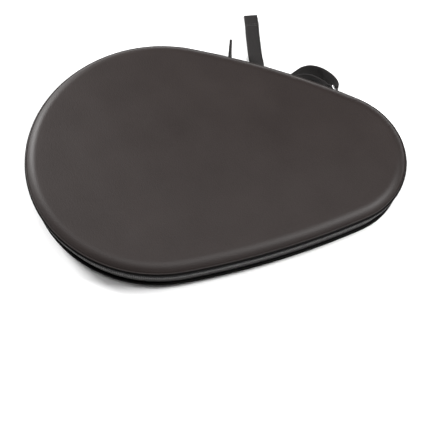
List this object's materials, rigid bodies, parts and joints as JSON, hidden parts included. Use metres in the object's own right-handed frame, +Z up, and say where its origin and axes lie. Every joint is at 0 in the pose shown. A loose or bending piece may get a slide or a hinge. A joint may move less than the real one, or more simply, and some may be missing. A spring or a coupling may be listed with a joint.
{
  "type": "paddle case",
  "caption": "Egg-shaped semi-hard case for a table-tennis paddle, with padded leather-look panels, a zip round the side, a fabric hinge and a webbing wrist strap on a ring.",
  "frame": {"origin": "on the flat underside, midway between the two ends of the outline", "axes": "+X from the broad end to the narrow end, +Y to the fabric hinge at the back, +Z up"},
  "size_m": [0.3, 0.2698, 0.0365],
  "materials": {
    "leather": "matt fine-grained PU leather, charcoal black",
    "piping": "satin black moulded piping",
    "foam": "closed-cell foam board",
    "lining": "smooth woven lining",
    "binding": "woven binding tape",
    "wall_fabric": "ribbed woven nylon",
    "zip_tape": "woven zip tape",
    "zip_coil": "nylon coil",
    "steel": "plated steel",
    "webbing": "ribbed nylon webbing",
    "elastic": "knitted elastic",
    "mesh": "hexagonal mesh",
    "slider": "black enamelled die-cast zinc",
    "pull": "moulded black rubber"
  },
  "bodies": {
    "base": {"base_cover": "leather", "base_piping": "piping", "base_board": "foam", "base_lining": "lining", "wall_fabric": "wall_fabric", "wall_foam": "foam", "wall_lining": "lining", "wall_binding": "binding", "zip_tape_lower": "zip_tape", "zip_coil_lower": "zip_coil", "zip_stops_lower": "steel", "hinge_panel_lower": "wall_fabric", "zip_end_tab": "webbing", "ring_tab": "webbing", "paddle_band": "elastic"},
    "lid": {"lid_cover": "leather", "lid_piping": "piping", "lid_board": "foam", "lid_lining": "lining", "lid_binding": "binding", "zip_tape_upper": "zip_tape", "zip_coil_upper": "zip_coil", "zip_stops_upper": "steel", "hinge_panel_upper": "wall_fabric", "mesh_pocket": "mesh", "pocket_elastic": "elastic"},
    "slider": {"slider_body": "slider"},
    "pull": {"pull_link": "steel", "zip_pull": "pull"},
    "ring": {"d_ring": "steel"},
    "strap": {"wrist_strap": "webbing"}
  },
  "joints": [
    {"name": "lid_hinge", "type": "hinge", "parent": "base", "child": "lid", "pos_m": [0.05627, 0.08157, 0.028], "axis": [-0.9392, 0.3434, 0], "range_deg": [0, 180]},
    {"name": "zip_slide", "type": "hinge", "parent": "base", "child": "slider", "pos_m": [-0.044, 0, 0.025], "axis": [0, 0, 1], "range_deg": [0, 197.8]},
    {"name": "pull_swing", "type": "hinge", "parent": "slider", "child": "pull", "pos_m": [-0.02831, 0.10676, 0.025], "axis": [0, 0, 1], "range_deg": [0, 170]},
    {"name": "ring_swing", "type": "hinge", "parent": "base", "child": "ring", "pos_m": [0.10082, 0.06944, 0.008], "axis": [0, 0, 1], "range_deg": [-75, 0]},
    {"name": "strap_swing", "type": "hinge", "parent": "ring", "child": "strap", "pos_m": [0.09707, 0.07978, 0.008], "axis": [0, 0, 1], "range_deg": [-60, 0]}
  ]
}
